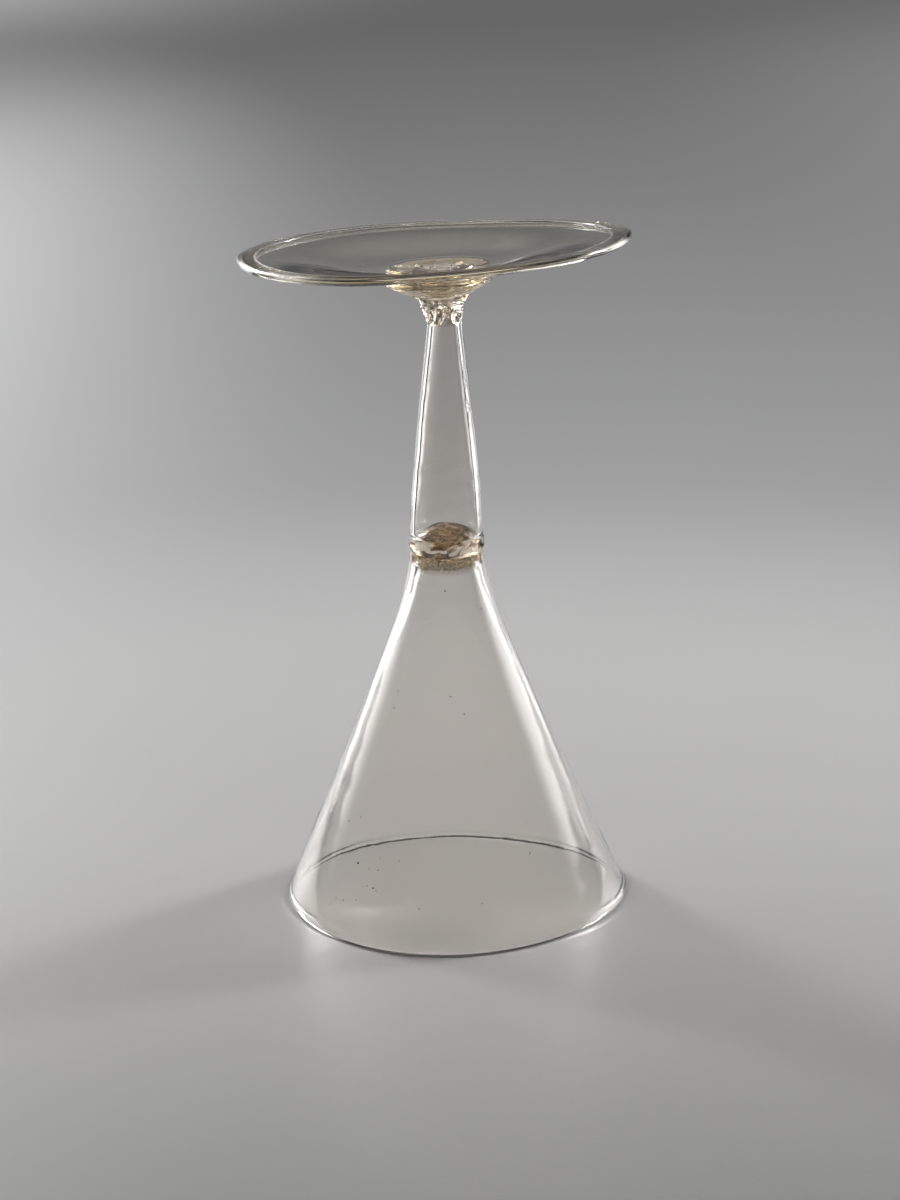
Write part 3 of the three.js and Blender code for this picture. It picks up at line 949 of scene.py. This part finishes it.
def make_film():
    """A thin tan film on the closed end of the bowl, and a little way down its wall."""
    ceiling = COLLAR_Z - BOWL_FLOOR
    low = ceiling - BOWL_CORNER
    corner_r = float(bowl_inner(low)) - BOWL_CORNER

    def path(gap):
        return join([
            row((0, ceiling - gap), (corner_r, ceiling - gap)),
            arc((corner_r, low), BOWL_CORNER - gap, 90, 0, 12),
            graph(lambda z: bowl_inner(z) - gap, low, ceiling - FILM_DEPTH, 20),
        ])

    near_wall, off_wall = FILM_GAPS
    part = turned([(path(off_wall), GLASS), (path(near_wall)[::-1], GLASS)])
    return make_object("bowl_film", leaned(part), [film_matter])


def make_cloud():
    """The brown heart of the collar."""
    centre = np.array([0, 0, 0.45 * COLLAR_Z + 0.55 * STEM_Z])
    size = np.array([CLOUD_RADIUS, CLOUD_RADIUS, 0.34 * (STEM_Z - COLLAR_Z)])
    co, faces = ball(centre, size, 0.0, hollow=False, rings=10, sides=40)
    part = leaned((co, faces, [GLASS] * len(faces)))
    return make_object("collar_cloud", part, [cloud_matter])


def make_threads(name, count, place):
    """Brown threads in a lump of glass, wound round its axis."""
    parts = []
    for _ in range(count):
        r, z = place()
        angle = rng.uniform(0, 2 * np.pi)
        centre = np.array([r * math.cos(angle), r * math.sin(angle), z])
        thick = rng.uniform(0.02, 0.06)
        co, faces = ball(centre, np.array([thick, rng.uniform(0.6, 2.2), thick]), angle, hollow=False)
        parts.append((co, faces, [GLASS] * len(faces)))
    return make_object(name, leaned(combined(parts)), [thread_matter])


def make_specks(bowl):
    """Dark specks on the near wall of the bowl, where the photograph shows them."""
    mesh = bowl.data
    tree = BVHTree.FromPolygons([v.co for v in mesh.vertices], [p.vertices for p in mesh.polygons])
    right, up, forward = camera_axes()
    pixel = SENSOR / CAMERA_LENS / PHOTO_HEIGHT
    places, sizes = [], []
    for x, y, size in SPECKS:
        ray = forward + right * (x - PHOTO_WIDTH / 2) * pixel - up * (y - PHOTO_HEIGHT / 2) * pixel
        hit, normal, _, _ = tree.ray_cast(CAMERA_PLACE * MM, ray.normalized())
        places.append(np.array(hit) / MM - 0.3 * size * np.array(normal))
        sizes.append(size * rng.uniform(0.6, 1.2, size=3))
    part = grains(places, sizes)
    return make_object("bowl_specks", part, [speck_matter])


# Camera, lights and stage


def camera_axes():
    """Right, up and forward of the camera."""
    forward = Vector((0, math.cos(CAMERA_PITCH), -math.sin(CAMERA_PITCH)))
    level_up = Vector((0, math.sin(CAMERA_PITCH), math.cos(CAMERA_PITCH)))
    c, s = math.cos(CAMERA_ROLL), math.sin(CAMERA_ROLL)
    level_right = Vector((1, 0, 0))
    return c * level_right - s * level_up, s * level_right + c * level_up, forward


def make_camera():
    """The camera that was fitted to the photograph."""
    data = bpy.data.cameras.new("camera")
    data.lens = CAMERA_LENS
    data.sensor_width = SENSOR
    data.clip_start = 0.01
    camera = bpy.data.objects.new("camera", data)
    right, up, forward = camera_axes()
    turn = Matrix((right, up, -forward)).transposed()
    camera.matrix_world = Matrix.Translation(CAMERA_PLACE * MM) @ turn.to_4x4()
    bpy.context.scene.collection.objects.link(camera)
    bpy.context.scene.camera = camera


def make_lamp(name, azimuth, elevation, away_by, size, power, edges):
    """A softbox that faces the glass. Azimuth is from +X towards +Y, in degrees; lengths are metres.
    edges is the share of its width and height over which it fades at each side."""
    data = bpy.data.lights.new(name, "AREA")
    data.shape = "RECTANGLE"
    data.size, data.size_y = size
    data.energy = power
    data.use_nodes = True
    n = Nodes(data)
    across = n.axes(n.add("NewGeometry").outputs["Parametric"])
    fades = []
    for axis, edge in zip(("X", "Y"), edges):
        off_middle = n.math("ABSOLUTE", n.math("SUBTRACT", across[axis], 0.5))
        fades.append(n.ramp(off_middle, 0.5 - edge, 0.5, 1.0, 0.0))
    shine = n.add("Emission", in_Strength=n.math("MULTIPLY", *fades))
    n.add("OutputLight", in_Surface=shine.outputs[0])
    lamp = bpy.data.objects.new(name, data)
    a, e = math.radians(azimuth), math.radians(elevation)
    away = Vector((math.cos(a) * math.cos(e), math.sin(a) * math.cos(e), math.sin(e)))
    lamp.location = Vector(LAMP_AIM) + away * away_by
    lamp.rotation_euler = away.to_track_quat("Z", "Y").to_euler()
    lamp.visible_camera = False
    bpy.context.scene.collection.objects.link(lamp)


def sees_room(n):
    """1 on a ray that the camera sends, also through or off the glass, and 0 on one that carries light."""
    path = n.add("LightPath").outputs
    sees = n.math("MAXIMUM", path["Is Camera Ray"], path["Is Glossy Ray"])
    sees = n.math("MAXIMUM", sees, path["Is Transmission Ray"])
    return n.math("MULTIPLY", sees, n.math("LESS_THAN", path["Diffuse Depth"], 0.5))


def distance(n, place, centre, stretch=(1, 1)):
    """How far a place on the floor is from a centre, in metres, each way divided by its stretch."""
    axes = n.axes(place)
    squares = []
    for axis, middle, size in zip(("X", "Y"), centre, stretch):
        off = n.math("DIVIDE", n.math("SUBTRACT", axes[axis], middle), size)
        squares.append(n.math("MULTIPLY", off, off))
    return n.math("SQRT", n.math("ADD", *squares))


def make_floor():
    """A round floor, just under the rim."""
    points = [(0, 0, 0)]
    for k in range(FLOOR_SIDES):
        angle = 2 * math.pi * k / FLOOR_SIDES
        points.append((FLOOR_RADIUS * math.cos(angle), FLOOR_RADIUS * math.sin(angle), 0))
    faces = [(0, 1 + k, 1 + (k + 1) % FLOOR_SIDES) for k in range(FLOOR_SIDES)]
    mesh = bpy.data.meshes.new("floor")
    mesh.from_pydata(points, [], faces)
    floor = bpy.data.objects.new("floor", mesh)
    bpy.context.scene.collection.objects.link(floor)
    mesh.materials.append(floor_material())
    floor.location.z = -FLOOR_GAP * MM


def lit_floor(n, place):
    """The pale floor round the glass, which the lamps light. It is mottled, and darker in front by painted
    shade.
    """
    mottle = n.ramp(n.noise(6, detail=3), 0.3, 0.7, 0.985, 1.015)
    # painted shade: the floor's colour falls to half towards the front, where less light falls
    front = n.ramp(n.axes(place)["Y"], -0.32, 0.06, 0.5, 1.0)
    mottle_and_painted_shade = n.math("MULTIPLY", mottle, front)
    colour = n.add("CombineColor")
    for key, value in zip(("Red", "Green", "Blue"), FLOOR_COLOUR):
        n.tree.links.new(n.math("MULTIPLY", mottle_and_painted_shade, value), colour.inputs[key])
    bump = n.add("Bump", in_Strength=0.15, in_Distance=0.0002, in_Height=n.noise(900, detail=2))
    return n.add(
        "BsdfPrincipled", in_Base_Color=colour.outputs[0], in_Roughness=0.42, in_IOR=1.45,
        in_Normal=bump.outputs[0],
    )


def with_patches(n, place, tone, patches):
    """A tone with soft patches of light added to it, given as GLOWS says."""
    for centre, size, even, bright in patches:
        patch = n.ramp(distance(n, place, centre, size), even, 1.0, bright, 0.0)
        tone = n.math("ADD", tone, patch)
    return tone


def wedge(n, turn, limits):
    """1 between the middle two of four limits, easing to 0 at the outer two."""
    rise, fall = limits[:2], limits[2:]
    return n.math("MULTIPLY", n.ramp(turn, *rise), n.ramp(turn, *fall, 1.0, 0.0))


def far_floor(n, place):
    """The floor's own glow. Seen in the glass it also has the pools and the dark wedges behind it."""
    off = distance(n, place, LIT_CENTRE)
    tone = n.math("MAXIMUM", n.math("DIVIDE", LIT_TONE, n.math("ADD", off, 1.0)), ROOM_TONE)
    tone = with_patches(n, place, tone, GLOWS)
    axes = n.axes(place)
    turn = n.math("DIVIDE", axes["X"], axes["Y"])
    dark = n.math("ADD", wedge(n, turn, DARK_LEFT), wedge(n, turn, DARK_RIGHT))
    lit = n.math("SUBTRACT", 1.0, n.math("MULTIPLY", dark, n.math("GREATER_THAN", axes["Y"], 0.0)))
    shown = with_patches(n, place, tone, POOLS)
    shown = n.math("MAXIMUM", n.math("MULTIPLY", shown, lit), DARK_TONE)
    direct = n.add("LightPath").outputs["Is Camera Ray"]
    tone = n.math("ADD", shown, n.math("MULTIPLY", direct, n.math("SUBTRACT", tone, shown)))
    return n.add("Emission", in_Strength=tone, in_Color=(1.0, 1.0, 1.01, 1))


def floor_material():
    """The lit floor, which further off gives way to the glow, for what the camera and the glass see."""
    material, n = new_material("pale_floor")
    place = n.add("TexCoord").outputs["Object"]
    fade = n.math("MULTIPLY", n.ramp(distance(n, place, FADE_CENTRE), *FADE), sees_room(n))
    shader = n.add("MixShader", in_Fac=fade)
    n.tree.links.new(lit_floor(n, place).outputs[0], shader.inputs[1])
    n.tree.links.new(far_floor(n, place).outputs[0], shader.inputs[2])
    n.add("OutputMaterial", in_Surface=shader.outputs[0])
    return material


def make_world():
    """A dim grey room, as the camera and the glass see it, with a plain fill light."""
    world = bpy.data.worlds.new("room")
    bpy.context.scene.world = world
    world.use_nodes = True
    n = Nodes(world)
    height = n.axes(n.add("TexCoord").outputs["Generated"])["Z"]
    seen = n.ramp(height, *WALL_HEIGHTS, *WALL_TONES)
    tone = n.math("ADD", n.math("MULTIPLY", sees_room(n), n.math("SUBTRACT", seen, FILL)), FILL)
    background = n.add("Background", in_Color=(1.0, 1.0, 1.02, 1), in_Strength=tone)
    n.add("OutputWorld", in_Surface=background.outputs[0])


bowl = make_bowl()
make_collar()
make_stem()
make_neck()
make_flange()
make_foot()
make_crust()
make_film()
make_cloud()
make_threads("collar_threads", 26, lambda: (rng.uniform(1, 6), rng.uniform(COLLAR_Z + 0.4, STEM_Z - 0.6)))
make_threads("flange_threads", 200, lambda: (rng.uniform(3, 9.8), rng.uniform(FLANGE_Z + 1.9, FOOT_Z - 0.5)))
make_specks(bowl)
make_camera()
make_floor()
make_world()
for lamp_name, values in LAMPS.items():
    make_lamp(lamp_name, *values)

bpy.context.scene.view_settings.view_transform = "Standard"
bpy.context.scene.cycles.blur_glossy = 0.0
bpy.context.scene.cycles.sample_clamp_indirect = 0.0
bpy.context.scene.cycles.max_bounces = 32
bpy.context.scene.cycles.transmission_bounces = 32
bpy.context.scene.cycles.glossy_bounces = 16
bpy.context.view_layer.update()
